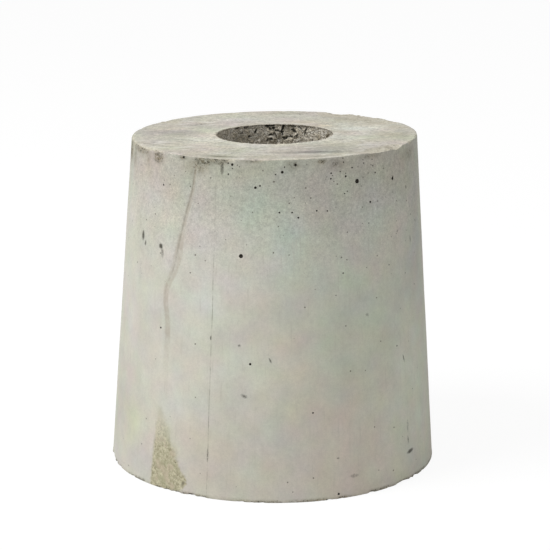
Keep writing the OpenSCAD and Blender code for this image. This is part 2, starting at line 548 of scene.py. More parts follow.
def lumps(points, size, seed=0.0, octaves=1):
    """Noise of about -1 to 1, with lumps about size across."""
    asked = (points / size + seed * 17.3).tolist()
    if octaves == 1:
        return np.array([noise.noise(q) for q in asked])
    return np.array([noise.fractal(q, 0.7, 2.1, octaves) for q in asked])


class Block:
    """The skin of the block while it is carved, with the marks it carries."""

    def __init__(self):
        self.bearing, self.run, self.tris = refined(*coarse_skin())
        self.points = place(self.bearing, self.run)
        self.out = outward(self.bearing, self.run)
        self.radius = np.hypot(self.points[:, 0], self.points[:, 1])
        self.height = self.points[:, 2].copy()
        run = self.run
        self.on_side = (run >= FOOT_ARRIS) & (run <= TOP_ARRIS)
        self.on_top = (run > TOP_ARRIS) & (run < RUN_AT["mouth"] + 0.5)
        self.on_wall = run > RUN_AT["mouth"] + 0.5
        self.on_foot = run < FOOT_ARRIS
        self.marks = {}

    def mark(self, name, value):
        """Keeps the greater of a mark and what is there already."""
        old = self.marks.get(name)
        value = np.asarray(value, float)
        self.marks[name] = value if old is None else np.maximum(old, value)

    def from_side(self, bearing, height):
        """How far each corner lies round and up from a place on the side, mm."""
        across = arc_mm(turned(bearing, self.bearing), self.radius)
        return across, self.height - height

    def push_in(self, depth):
        self.points -= self.out * np.asarray(depth)[:, None]

    def scoop(self, centre, ball_r, rough, grain, name, edge=0.0):
        """Pushes everything inside a ball out to its surface, and marks it."""
        away = self.points - centre
        far = np.linalg.norm(away, axis=1)
        near = np.nonzero(far < ball_r * (1 + rough) + 0.5)[0]
        if not len(near):
            return
        reach = ball_r
        if rough:
            reach = ball_r + ball_r * rough * lumps(self.points[near], grain, ball_r)
        depth = reach - far[near]
        if edge:  # draws the skin's nearest corners onto the rim, so that it is crisp
            rim = np.abs(depth) < edge
            shift = away[near] * (depth / far[near])[:, None] * rim[:, None]
            along = shift - (shift * self.out[near]).sum(1)[:, None] * self.out[near]
            self.points[near] += along * RIM_PULL
            depth = np.where(rim, 0, depth)
        inside = depth > 0
        hit = near[inside]
        grow = (reach if np.isscalar(reach) else reach[inside]) / far[hit]
        self.points[hit] = centre + away[hit] * np.reshape(grow, (-1, 1))
        marked = np.zeros(len(self.points))
        marked[hit] = np.clip(depth[inside] / FULL_MARK, 0, 1)
        self.mark(name, marked)


def spread(x, y, wide, tall, lean=0.0):
    """Offsets turned by a lean in degrees, in shares of a half width and height."""
    c, s = math.cos(math.radians(lean)), math.sin(math.radians(lean))
    return (c * x + s * y) / wide, (c * y - s * x) / tall


def carve_faces(block):
    """Gentle wander of the cast side and the trowelled, slightly dished top."""
    p = block.points
    wander = 0.5 + 0.5 * lumps(p, 70, 1)
    fine = 0.5 + 0.5 * lumps(p, 14, 2)
    side_dip = 0.55 * wander + 0.16 * fine
    polar = np.stack([block.radius, arc_mm(block.bearing, 60.0), 0 * p[:, 2]], 1)
    sweep = 0.5 + 0.5 * lumps(polar * (1, 0.18, 1), 7, 3, 3)
    top_dip = 0.9 * (0.5 + 0.5 * lumps(p, 48, 4)) + 0.35 * sweep + 0.15 * fine
    lip = np.exp(-((block.radius - SOCKET_R) / 9) ** 2) * 0.8
    rim = np.exp(-((block.radius - TOP_R) / 16) ** 2) * 1.1
    foot_dip = 0.4 * wander + 0.3 * fine
    dip = np.where(block.on_side, side_dip, 0)
    dip = np.where(block.on_top, np.maximum(top_dip - lip - rim, 0), dip)
    dip = np.where(block.on_foot, foot_dip * smooth(block.radius, SOCKET_R + 6, SOCKET_R + 20)
                   * smooth(FOOT_R - block.radius, 14, 30), dip)
    near_foot = smooth(block.height, 0, 4) + (block.run > TOP_ARRIS)
    block.push_in(dip * np.clip(near_foot + block.on_foot, 0, 1))


def carve_crease(block):
    """The fold in the mould's lining: a shallow trough with a sharper left bank."""
    height, side = block.height, block.on_side
    off = arc_mm(turned(crease_bearing(height), block.bearing), block.radius)
    off = off + 0.6 * lumps(block.points, 26, 5, 2)
    half = np.interp(height, CREASE_HEIGHTS, CREASE_HALF)
    fade = smooth(height, 120, 200) * side
    trough = smooth(-off, -half * 1.1, -half * 0.4) * smooth(off, -half * 1.1, -half * 0.7)
    block.push_in(0.5 * trough * fade)
    block.marks["crease_mm"] = np.where(side, off, FAR)
    block.marks["crease_half"] = half


def carve_seams(block):
    """Hairline steps where the two halves of the mould met."""
    nearest = np.full(len(block.run), FAR)
    for seam in range(len(SEAMS)):
        off = arc_mm(turned(seam_bearing(seam, block.height), block.bearing), block.radius)
        off = off + 0.5 * lumps(block.points * (0, 0, 1), 60, 6 + seam)
        block.push_in(0.22 * smooth(off, -0.9, 0.9) * smooth(9 - off, 0, 8) * block.on_side)
        nearest = np.where(np.abs(off) < np.abs(nearest), off, nearest)
    block.marks["seam_mm"] = np.where(block.on_side, nearest, FAR)


def carve_leak(block):
    """The rough, weak patch at the foot where grout leaked from the mould."""
    off = leak_distance(block.bearing, block.height, block.radius)
    right = smooth(turned(-44, block.bearing), 0, 6)
    ragged = off + (0.9 + 3.4 * right) * lumps(block.points, 8, 8, 3)
    inside = smooth(-ragged, -0.6, 2.6) * block.on_side * smooth(-block.height, -92, -40)
    rough = 0.5 + 0.5 * lumps(block.points, 5, 9, 3)
    block.push_in(inside * (0.1 + 0.9 * rough) * smooth(block.height, 0, 3))
    soft = 0.5 * smooth(block.height, 20, 60) + 2.4 * right * smooth(block.height, 12, 45)
    ragged = ragged / (1 + soft)
    block.marks["leak_mm"] = np.where(block.on_side, ragged, FAR)


def carve_socket(block):
    """Rubble of bared stones and weak mortar, where the core was drawn."""
    wall = np.nonzero(block.on_wall)[0]
    p = block.points[wall]
    below = block.run[wall] - RUN_AT["mouth"]
    warp = np.stack([lumps(p, 9, 20 + k) for k in range(3)], 1)
    asked = ((p + 3.0 * warp) / STONE_MM).tolist()
    gap, set_back = np.empty(len(wall)), np.empty(len(wall))
    for i, q in enumerate(asked):
        far, centres = noise.voronoi(q)
        gap[i] = far[1] - far[0]
        set_back[i] = noise.cell(centres[0] * 3.7 + Vector((0.5, 0.5, 0.5)))
    body = smooth(gap, 0.0, 0.30)
    weak = smooth(lumps(p, 26, 24, 2), -0.2, 0.4)
    crevice = (1 - body) * (1.2 + 2.6 * weak)
    face = body * (0.3 + 1.5 * (0.5 + 0.5 * set_back) * (0.4 + 0.6 * weak))
    fines = 0.9 * (0.5 + 0.5 * lumps(p, 4.2, 25, 2))
    fade = smooth(below, 0.6, 3.0) * smooth(p[:, 2], 2, 7)
    depth = np.zeros(len(block.run))
    depth[wall] = (crevice + face + fines) * fade
    block.push_in(depth)
    # the deepest crevices are darkened through the hole mark: painted shade
    gloom = np.zeros(len(block.run))
    gloom[wall] = np.clip((crevice - 0.9) / 4, 0, 1) * fade
    block.mark("hole_shade", gloom * 0.12)
    block.marks["stone"] = np.zeros(len(block.run))
    block.marks["stone"][wall] = set_back * 0.5 + 0.5
    for placed_and_sized in SOCKET_GAPS:
        carve_gap(block, *placed_and_sized)


def carve_gap(block, bearing, down, length, lean, size):
    """Balls strung along one open gap of the socket wall, each at the skin it finds."""
    pick = random.Random(int(bearing * 10 + down))
    a = math.radians(lean)
    balls = max(int(1.5 * length / size), 2)
    for ball in range(balls):
        step = length * (ball / (balls - 1) - 0.5)
        over, up = step * math.cos(a), step * math.sin(a) + pick.uniform(-0.5, 0.5) * size
        turn, run = bearing - math.degrees(over / SOCKET_R), RUN_AT["mouth"] + down - up
        off = np.hypot(arc_mm(turned(turn, block.bearing), SOCKET_R), block.run - run)
        nearest = off.argmin()
        grown = size * pick.uniform(0.75, 1.2)
        centre = block.points[nearest] + 0.1 * size * block.out[nearest]
        # small gaps are painted dark with the soot mark, as painted shade; larger ones take the
        # broken tone
        block.scoop(centre, grown, 0.3, 2.2, "soot_and_gap_shade" if size < 2 else "broken")


def carve_mouth(block):
    """Crumbs lost from the mouth of the socket."""
    pick = random.Random(8)
    for _ in range(MOUTH_CRUMBS):
        a = pick.uniform(-math.pi, math.pi)
        size = 1.2 + 2.4 * pick.random() ** 2
        radius = SOCKET_R - 0.3 * size
        x, y = radius * math.sin(a), -radius * math.cos(a)
        centre = np.array((x, y, TOP_Z + TOP_RISE * x + 0.35 * size))
        block.scoop(centre, size, 0.2, 2.5, "broken")


def ball_radius(half, depth):
    """Radius of the ball that cuts a hollow of this half width and depth."""
    return (half * half + depth * depth) / (2 * depth)


def arris_point(bearing, top):
    """The sharp corner that an arris would have without its wear."""
    a = math.radians(bearing)
    radius = TOP_R if top else FOOT_R
    x, y = radius * math.sin(a), -radius * math.cos(a)
    return np.array((x, y, TOP_Z + TOP_RISE * x if top else 0.0))


def carve_break(block, top, bearing, length, bite, rough, grain, name):
    """One scoop with its deepest point on the diagonal of an arris."""
    ball_r = ball_radius(length / 2, bite)
    a = math.radians(bearing)
    away = (ball_r - bite) / math.sqrt(2)
    lean = np.array((math.sin(a), -math.cos(a), 1 if top else -1))
    block.scoop(arris_point(bearing, top) + away * lean, ball_r, rough, grain, name)


def carve_arrises(block):
    """The larger breaks and nicks, then small chips all along both arrises."""
    for top, breaks, rough, grain, name in (
        (True, TOP_BREAKS, 0.012, 9, "broken"),
        (False, FOOT_BREAKS, 0.012, 9, "broken"),
        # the nicks in the foot arris are painted dark with the grime mark, as painted shade
        (False, FOOT_NICKS, 0.06, 3, "grime_and_foot_shade"),
    ):
        for placed_and_sized in breaks:
            carve_break(block, top, *placed_and_sized, rough, grain, name)
    pick = random.Random(5)
    low, high = NEAT_ARRIS
    for top, count, least, more, longest, bite, least_bite in CHIPS:
        for _ in range(count):
            bearing = pick.uniform(-180, 180)
            size = least + more * pick.random() ** 3
            if top and low < bearing < high:
                size *= NEAT_SHARE
            length = size * pick.uniform(2.4, longest)
            carve_break(block, top, bearing, length, size * bite + least_bite, 0.10, 3,
                        "broken")


def carve_top(block):
    """Spalls and pits in the struck top."""
    for x, y, size, depth in TOP_SPALLS:
        ball_r = ball_radius(size, depth)
        centre = np.array((x, y, TOP_Z + TOP_RISE * x + ball_r - depth - 0.5))
        block.scoop(centre, ball_r, 0.9 / ball_r, 5, "broken")
    for x, y, size in TOP_PITS:
        off = np.hypot(block.points[:, 0] - x, block.points[:, 1] - y)
        nearest = np.where(block.on_top, off, REACH).argmin()
        centre = block.points[nearest] + np.array((0, 0, 0.3 * size))
        # each pit is painted dark through the hole mark: painted shade
        block.scoop(centre, size, 0, 1, "hole_shade", 0.2)


def carve_air_holes(block):
    """Round cavities left by air against the mould, open at the cast side."""
    for bearing, height, size in ALL_HOLES:
        spot = (np.array([bearing]), np.array([run_at_height(height, bearing)]))
        surface, out = place(*spot)[0], outward(*spot)[0]
        near = np.linalg.norm(block.points - surface, axis=1)
        sunk = ((block.points[near.argmin()] - surface) * out).sum()
        centre = surface + out * (sunk + 0.28 * size)
        # each air hole is painted dark through the hole mark: painted shade
        block.scoop(centre, size * 1.04, 0, 1, "hole_shade", 0.16 * size)


def mark_drags(block):
    """Dark drag marks and soft blots, painted on the skin."""
    soot_and_gap_shade = np.zeros(len(block.run))
    for bearing, height, wide, tall, lean, strength in MARKS:
        x, y = block.from_side(bearing, height)
        off = np.hypot(*spread(x, y, wide, tall, lean))
        soot_and_gap_shade = np.maximum(soot_and_gap_shade, strength * smooth(-off, -1.5, -0.35) * block.on_side)
    block.marks["soot_and_gap_shade"] = soot_and_gap_shade


def mark_grime_and_foot_shade(block):
    """Grime under the top arris, and painted shade in patches along the foot arris."""
    grime_and_foot_shade = np.zeros(len(block.run))
    for bearing, height, wide, tall, strength in GRIME:
        off = np.hypot(*spread(*block.from_side(bearing, height), wide, tall))
        grime_and_foot_shade = np.maximum(grime_and_foot_shade, strength * smooth(-off, -1.6, -0.2))
    # painted shade: a dark, patchy line along the foot arris where it meets the floor
    foot_shade_line = smooth(-np.abs(stepped(block.run, FOOT_ARRIS)), -4.0, -1.4)
    patchy = smooth(lumps(block.points, 22, 12, 2), -0.45, 0.3)
    grime_and_foot_shade = np.maximum(grime_and_foot_shade, foot_shade_line * (0.25 + 0.75 * patchy))
    block.marks["grime_and_foot_shade"] = grime_and_foot_shade * (block.on_side | (foot_shade_line > 0))


def mark_stains_and_highlights(block):
    """Broad stains of the side and the top, and pale bands of painted highlight on the top."""
    tint_shifts = np.zeros((3, len(block.run)))
    for bearing, height, wide, tall, *tint in SIDE_STAINS:
        across, up = spread(*block.from_side(bearing, height), wide, tall)
        near = np.exp(-across**2 - up**2) * block.on_side
        tint_shifts += np.outer(tint, near)
    x, y = block.points[:, 0], block.points[:, 1]
    for x0, y0, long, wide, heading, *tint in TOP_STAINS:
        along, across = spread(x - x0, y - y0, long, wide, heading)
        near = np.exp(-along**2 - across**2) * block.on_top
        tint_shifts += np.outer(tint, near)
    front = smooth(-y, -30, 60)
    # painted highlights: a pale band along the outer rim and a pale ring round the lip, strongest
    # at the front
    rim = 7 * np.exp(-((block.radius - TOP_R + 5) / 3.5) ** 2) * front
    lip = 11 * np.exp(-((block.radius - SOCKET_R - 4) / 5) ** 2) * (0.3 + 0.7 * front)
    tint_shifts[0] += (rim + lip) * block.on_top
    for name, values in zip(("pale", "pink", "yellow"), tint_shifts):
        block.marks[name] = values


def carved_block():
    """The whole skin, carved and marked, and held inside the block's own box."""
    block = Block()
    mark_drags(block)
    mark_grime_and_foot_shade(block)
    carve_faces(block)
    carve_crease(block)
    carve_seams(block)
    carve_leak(block)
    carve_socket(block)
    carve_top(block)
    carve_mouth(block)
    carve_arrises(block)
    carve_air_holes(block)
    mark_stains_and_highlights(block)
    low, high = (np.array(corner) / MM for corner in cad_box)
    block.points = np.clip(block.points, low, high)
    return block


# ------------------------------------------------------------------ layout of the skin
SIDE, TOP, WALL, FOOT = range(4)  # the faces, in the order of their finishes
SHEET = 958.0  # millimetres of skin across the square that the skin is laid out on
GUTTER = 8.0


def laid_out(block, faces):
    """Flat place of every corner of every face, for finishes stored as pictures."""
    b, s = block.bearing[block.tris], block.run[block.tris]
    b = b[:, :1] + turned(b[:, :1], b)
    s = s[:, :1] + stepped(s[:, :1], s)
    p = place(b.ravel(), s.ravel()).reshape(*b.shape, 3)
    flat = np.zeros((*b.shape, 2))
    half = math.radians(180) * (FOOT_R + TOP_R) / 2  # width of half the side
    middle = b.mean(1, keepdims=True)
    back = np.abs(turned(0, middle)) > 90
    around = np.where(back, turned(180, middle), turned(0, middle)) + (b - middle)
    tall = TOP_ARRIS - FOOT_ARRIS
    side = np.stack([GUTTER + half * (0.5 + around / 180),
                     GUTTER + (s - FOOT_ARRIS) + back * (tall + GUTTER)], 2)
    disc = half + 2 * GUTTER + TOP_R
    top = np.stack([disc + p[..., 0], GUTTER + TOP_R + p[..., 1]], 2)
    shrink = TOP_R / FOOT_R
    foot = np.stack([disc - p[..., 0] * shrink,
                     2 * GUTTER + 3 * TOP_R + p[..., 1] * shrink], 2)
    wall_low = 3 * GUTTER + 4 * TOP_R
    wall_tall = SHEET - GUTTER - wall_low
    wall = np.stack([
        half + 2 * GUTTER + 2 * TOP_R * (turned(0, middle) + (b - middle) + 180) / 360,
        wall_low + wall_tall * (s - RUN_AT["mouth"]) / (LOOP - RUN_AT["mouth"]),
    ], 2)
    for number, layout in zip((SIDE, TOP, WALL, FOOT), (side, top, wall, foot)):
        flat = np.where((faces == number)[:, None, None], layout, flat)
    return flat / SHEET


# ------------------------------------------------------------------ wiring of finishes
class Wiring:
    """Places and joins the nodes of one material or one shader node group."""

    def __init__(self, tree):
        self.tree = tree
        self.tree.nodes.clear()

    def join(self, start, end):
        self.tree.links.new(start, end)

    def fill(self, node, inputs):
        """Joins or sets each input of a node."""
        for key, value in dict(inputs).items():
            if isinstance(value, bpy.types.NodeSocket):
                self.join(value, node.inputs[key])
            else:
                node.inputs[key].default_value = value
        return node.outputs

    def put(self, kind, inputs=(), out=0, **settings):
        """A new node with its inputs and settings, as the output asked for."""
        node = self.tree.nodes.new("ShaderNode" + kind)
        for name, value in settings.items():
            setattr(node, name, value)
        return self.fill(node, inputs)[out]

    def group(self, tree, inputs):
        node = self.tree.nodes.new("ShaderNodeGroup")
        node.node_tree = tree
        return self.fill(node, inputs)

    def end(self, shader, kind="Material"):
        """Sends a shader to the output of the material or the world."""
        output = self.tree.nodes.new("ShaderNodeOutput" + kind)
        self.join(shader, output.inputs["Surface"])

    def maths(self, kind, a, b=0.0, clamp=False):
        return self.put("Math", {0: a, 1: b}, operation=kind, use_clamp=clamp)

    def moved(self, where, by):
        return self.put("VectorMath", {0: where, 1: by}, operation="ADD")

    def scaled(self, where, by):
        return self.put("VectorMath", {0: where, 3: by}, operation="SCALE")

    def along(self, where, axis):
        """One of the three parts of a place: 0, 1 or 2."""
        return self.put("SeparateXYZ", {0: where}, out=axis)

    def times(self, a, b):
        return self.maths("MULTIPLY", a, b)

    def plus(self, a, b):
        return self.maths("ADD", a, b)

    def ramp(self, value, low, high, start=0.0, end=1.0):
        """A soft step from start to end as value goes from low to high."""
        return self.put("MapRange", {0: value, 1: low, 2: high, 3: start, 4: end},
                        interpolation_type="SMOOTHSTEP")

    def blend(self, a, b, share, way="MIX"):
        return self.put("Mix", {0: share, 6: a, 7: b}, out=2, data_type="RGBA",
                        blend_type=way)

    def noise(self, where, size, detail=2.0, rough=0.5, out="Fac", warp=0.0):
        return self.put("TexNoise", {"Vector": where, "Scale": 1 / size, "Detail": detail,
                                     "Roughness": rough, "Distortion": warp}, out=out)

    def cells(self, where, size, out="Distance", feature="F1"):
        return self.put("TexVoronoi", {"Vector": where, "Scale": 1 / size}, out=out,
                        feature=feature)

    def mark(self, name):
        return self.put("Attribute", out="Fac", attribute_name=name)

    def millimetres(self, stretch=(1, 1, 1)):
        """Place on the block in millimetres, shortened along each axis by stretch."""
        metres = self.put("TexCoord", out="Object")
        return self.put("VectorMath", {0: metres, 1: [s / MM for s in stretch]},
                        operation="MULTIPLY")


def new_group(name, inputs, outputs):
    """An empty shader node group, its wiring, its given inputs and its results."""
    tree = bpy.data.node_groups.new(name, "ShaderNodeTree")
    for direction, sockets in (("INPUT", inputs), ("OUTPUT", outputs)):
        for label, kind in sockets.items():
            tree.interface.new_socket(label, in_out=direction,
                                      socket_type="NodeSocket" + kind)
    wiring = Wiring(tree)
    given = tree.nodes.new("NodeGroupInput").outputs
    result = tree.nodes.new("NodeGroupOutput").inputs
    return tree, wiring, given, result


def colour(red, green, blue):
    """A colour given as it looks, 0 to 255, in the values that shaders use."""
    return [((c / 255 + 0.055) / 1.055) ** 2.4 for c in (red, green, blue)] + [1.0]


def mottle_group():
    """Cement paste: broad clouds, faint warm and green blotches and a sandy grain."""
    tree, w, given, result = new_group(
        "Cement mottle",
        {"Where": "Vector", "Paste": "Color", "Clouds": "Float", "Blotches": "Float",
         "Sand": "Float"},
        {"Color": "Color", "Grain": "Float"},
    )
    where = given["Where"]
    broad = w.noise(where, 95, 3, 0.55)
    clouds = w.noise(where, 24, 4, 0.62)
    value = w.plus(w.times(w.plus(broad, -0.5), 0.30), w.times(w.plus(clouds, -0.5), 0.30))
    value = w.plus(1.0, w.times(value, given["Clouds"]))
    sand = w.noise(where, 1.6, 2, 0.8)
    coarse = w.noise(where, 4.6, 3, 0.7)
    grain = w.plus(w.times(w.plus(sand, -0.5), 0.34), w.times(w.plus(coarse, -0.5), 0.30))
    value = w.times(value, w.plus(1.0, w.times(grain, given["Sand"])))
    tint = w.noise(where, 30, 1, 0.4, out="Color")
    tint = w.scaled(w.moved(tint, (-0.5, -0.5, -0.5)), w.times(given["Blotches"], 0.22))
    shade = w.scaled(w.moved(tint, (1, 1, 1)), value)
    w.join(w.blend(given["Paste"], shade, 1.0, "MULTIPLY"), result["Color"])
    w.join(w.plus(grain, 0.5), result["Grain"])
    return tree


STEP = 0.011  # how much of a pale tone's light one shade out of 255 is


def stain_group():
    """Shifts a face by its broad stains and painted highlights: paler, pinker or yellower."""
    tree, w, given, result = new_group(
        "Broad stains and highlights",
        {"Face": "Color", "Pale": "Float", "Pink": "Float", "Yellow": "Float"},
        {"Color": "Color"},
    )
    pale, pink, yellow = (w.times(given[k], STEP) for k in ("Pale", "Pink", "Yellow"))
    shifts = []
    for pink_share, yellow_share in ((0.5, 0.3), (-0.5, 0.3), (-0.5, -0.7)):
        shift = w.plus(w.times(pink, pink_share), w.times(yellow, yellow_share))
        shifts.append(w.plus(w.plus(shift, pale), 1.0))
    shift = w.put("CombineXYZ", dict(enumerate(shifts)))
    w.join(w.blend(given["Face"], shift, 1.0, "MULTIPLY"), result["Color"])
    return tree


def pinhole_group():
    """Pinholes too small to carve: a mask of dark dots, thicker where asked."""
    tree, w, given, result = new_group(
        "Pinholes",
        {"Where": "Vector", "Spacing": "Float", "Amount": "Float"},
        {"Mask": "Float"},
    )
    where = w.scaled(given["Where"], w.maths("DIVIDE", 1.0, given["Spacing"]))
    off = w.cells(where, 1)
    pick = w.put("SeparateColor", {0: w.cells(where, 1, out="Color")})
    size = w.times(w.ramp(pick, w.maths("SUBTRACT", 1.0, given["Amount"]), 1.0), 0.16)
    mask = w.maths("SUBTRACT", size, off)
    w.join(w.ramp(mask, -0.03, 0.03), result["Mask"])
    return tree


def weathering_group():
    """Grime, soot, breaks and painted shade in holes, gaps and at the foot, laid over concrete."""
    tree, w, given, result = new_group(
        "Weathering and shade",
        {"Face": "Color", "Where": "Vector", "Grime_and_foot_shade": "Float", "Soot_and_gap_shade": "Float",
         "Hole_shade": "Float", "Broken": "Float"},
        {"Color": "Color"},
    )
    where = given["Where"]
    speckle = w.noise(where, 3.2, 3, 0.7)
    patch = w.noise(where, 9, 2, 0.6)
    broken = w.blend(colour(180, 172, 150), colour(216, 211, 195), w.ramp(speckle, 0.35, 0.65))
    broken = w.blend(broken, colour(136, 128, 108), w.ramp(patch, 0.56, 0.72))
    face = w.blend(given["Face"], broken, w.times(given["Broken"], 0.6))
    # the grime tone paints real dirt, and painted shade along the foot arris and in its nicks
    dirt_and_shade_tone = w.blend(colour(104, 99, 80), colour(140, 128, 102), w.ramp(patch, 0.4, 0.6))
    share = w.ramp(speckle, 0.34, 0.60, 0.22, 0.92)
    face = w.blend(face, dirt_and_shade_tone, w.maths("MULTIPLY", given["Grime_and_foot_shade"], share, clamp=True))
    specks = w.ramp(w.noise(where, 1.9, 2, 0.8), 0.52, 0.61)
    specks = w.times(specks, w.ramp(given["Grime_and_foot_shade"], 0.2, 0.7, 0.0, 0.9))
    face = w.blend(face, colour(66, 62, 50), specks)
    # soot darkens the drag marks and blots, and paints shade into the small socket gaps
    ragged = w.plus(given["Soot_and_gap_shade"], w.times(w.plus(w.noise(where, 1.8, 2, 0.7), -0.5), 0.8))
    ragged = w.times(w.ramp(ragged, 0.1, 1.0), 0.95)
    face = w.blend(face, colour(74, 72, 63), w.times(ragged, w.ramp(given["Soot_and_gap_shade"], 0.02, 0.12)))
    # painted shade: near black in air holes, pits and the socket's deepest crevices
    face = w.blend(face, colour(40, 37, 30), w.ramp(given["Hole_shade"], 0.1, 0.9))
    w.join(face, result["Color"])
    return tree


MOTTLE = mottle_group()
PINHOLES = pinhole_group()
STAINS_AND_HIGHLIGHTS = stain_group()
WEATHERING_AND_SHADE = weathering_group()


def new_finish(name):
    material = bpy.data.materials.new(name)
    material.use_nodes = True
    return material, Wiring(material.node_tree)


def finish_surface(w, base, height, depth_mm, rough_low, rough_high, grain):
    """Ends a finish in its shader, with roughness and bump from the same grain."""
    w.end(w.put("BsdfPrincipled", {
        "Base Color": base,
        "Roughness": w.ramp(grain, 0.3, 0.7, rough_low, rough_high),
        "Normal": w.put("Bump", {"Height": height, "Distance": depth_mm * MM,
                                 "Strength": 1.0}),
        "Specular IOR Level": 0.3,
    }))


def mottled(w, where, paste, clouds, blotches, sand):
    """Cement paste: its colour, and the grain of its sand."""
    return w.group(MOTTLE, {"Where": where, "Paste": paste, "Clouds": clouds,
                            "Blotches": blotches, "Sand": sand})


def pinholed(w, face, where, spacing, amount, tone, share):
    """A face with pinholes over it as dark dots of painted shade, and the mask of the pinholes."""
    dots = w.group(PINHOLES, {"Where": where, "Spacing": spacing, "Amount": amount})["Mask"]
    return w.blend(face, tone, w.times(dots, share)), dots


def tint_shifted(w, face):
    return w.group(STAINS_AND_HIGHLIGHTS, {
        "Face": face, "Pale": w.mark("pale"), "Pink": w.mark("pink"),
        "Yellow": w.mark("yellow"),
    })["Color"]


def weathered_and_shaded(w, face, where):
    return w.group(WEATHERING_AND_SHADE, {
        "Face": face, "Where": where, "Grime_and_foot_shade": w.mark("grime_and_foot_shade"), "Soot_and_gap_shade": w.mark("soot_and_gap_shade"),
        "Hole_shade": w.mark("hole_shade"), "Broken": w.mark("broken"),
    })["Color"]


def cast_side():
    """Smooth face cast against the mould, with its seam, crease and leaked patch."""
    material, w = new_finish("Cast side")
    where = w.millimetres()
    height = w.along(where, 2)
    sand = w.ramp(height, 220, 380, 0.75, 2.6)
    mottle = mottled(w, where, colour(205, 204, 191), 0.62, 0.68, sand)
    darker_near_top = w.ramp(height, 285, 400, 0.0, 0.20)  # darker towards the top
    face = w.blend(mottle["Color"], (0, 0, 0, 1), darker_near_top)
    face = tint_shifted(w, face)
    streaks = w.noise(w.millimetres((1, 1, 0.03)), 3.2, 3, 0.6)
    face = w.blend(face, colour(186, 182, 168), w.times(w.ramp(streaks, 0.55, 0.8), 0.4))
    # crease: a brownish band, and painted shade as a darker, broken line along its left bank
    off, half = w.mark("crease_mm"), w.mark("crease_half")
    lower, upper = w.ramp(height, 120, 195), w.ramp(height, 396, 380)
    across = w.maths("ABSOLUTE", w.maths("DIVIDE", off, half))
    band = w.times(w.ramp(across, 1.25, 0.6), w.times(lower, upper))
    brown = w.ramp(w.noise(where, 12, 4, 0.7), 0.34, 0.62, 0.25, 1.0)
    face = w.blend(face, colour(172, 160, 144), w.times(w.times(band, brown), 0.52))
    bank_shade = w.ramp(w.maths("ABSOLUTE", w.plus(off, w.times(half, 0.35))), 2.0, 0.2)
    broken = w.ramp(w.noise(where, 7, 3, 0.7), 0.34, 0.58, 0.25, 1.0)
    bank_shade = w.times(w.times(bank_shade, broken), w.times(w.ramp(height, 190, 320), upper))
    face = w.blend(face, colour(122, 118, 104), w.times(bank_shade, 0.40))
    # leaked patch: olive and brown, ragged, fading upwards
    inside = w.ramp(w.mark("leak_mm"), 1.8, -2.4)
    inside = w.times(inside, w.ramp(height, 97, 44, 0.26, 0.92))
    rough = w.noise(where, 3.6, 4, 0.75)
    olive = w.blend(colour(148, 142, 112), colour(208, 202, 172), w.ramp(rough, 0.34, 0.64))
    rusty = w.ramp(w.noise(where, 13, 2), 0.5, 0.62, 0, 0.6)
    mossy = w.ramp(w.noise(where, 19, 2), 0.50, 0.64, 0, 0.5)
    olive = w.blend(w.blend(olive, colour(190, 175, 152), rusty), colour(160, 158, 124), mossy)
    face = w.blend(face, olive, inside)
    # seam: a hairline with gaps, nearly lost near the top
    line = w.ramp(w.maths("ABSOLUTE", w.mark("seam_mm")), 0.8, 0.15)
    gaps = w.ramp(w.noise(w.millimetres((0, 0, 1)), 26, 3, 0.7), 0.42, 0.60, 0.15, 1.0)
    line = w.times(w.times(line, gaps), w.ramp(height, 320, 250, 0.10, 0.55))
    face = w.blend(face, colour(120, 114, 98), line)
    # pinholes, thicker near the top: dark dots of painted shade for holes too small to carve
    near_top = w.ramp(height, 200, 360, 0.10, 0.46)
    face, dots = pinholed(w, face, where, 6.0, near_top, colour(96, 92, 80), 0.8)
    face = weathered_and_shaded(w, face, where)
    relief = w.plus(mottle["Grain"], w.times(dots, -1.5))
    relief = w.plus(relief, w.times(w.times(inside, rough), 2.2))
    finish_surface(w, face, relief, 0.22, 0.62, 0.80, mottle["Grain"])
    return material


def struck_top():
    """Trowelled face: laitance smeared across it, whitish and grey by turns."""
    material, w = new_finish("Struck top")
    where = w.millimetres()
    coarse = w.millimetres((0.6, 0.6, 0.6))
    mottle = mottled(w, coarse, colour(204, 200, 186), 0.7, 0.9, 3.6)
    face = tint_shifted(w, mottle["Color"])
    swept = w.ramp(w.noise(where, 70, 2), 0.38, 0.62, 0.3, 1.0)
    drawn = w.noise(w.millimetres((0.45, 1.1, 1)), 14, 5, 0.7, warp=0.8)
    pale = w.ramp(drawn, 0.51, 0.72, 0.0, 0.85)
    grey = w.ramp(drawn, 0.47, 0.26, 0.0, 0.7)
    face = w.blend(face, colour(238, 236, 229), w.times(pale, swept))
    face = w.blend(face, colour(138, 132, 116), w.times(grey, swept))
    wiped = w.noise(w.millimetres((0.4, 1.0, 1)), 4.5, 3, 0.7)
    face = w.blend(face, colour(132, 126, 110), w.ramp(wiped, 0.46, 0.26, 0.0, 0.42))
    face, _ = pinholed(w, face, where, 7.0, 0.2, colour(120, 112, 96), 0.7)
    face = weathered_and_shaded(w, face, where)
    relief = w.plus(w.times(mottle["Grain"], 1.6), w.times(drawn, 1.5))
    finish_surface(w, face, relief, 0.45, 0.66, 0.86, mottle["Grain"])
    return material


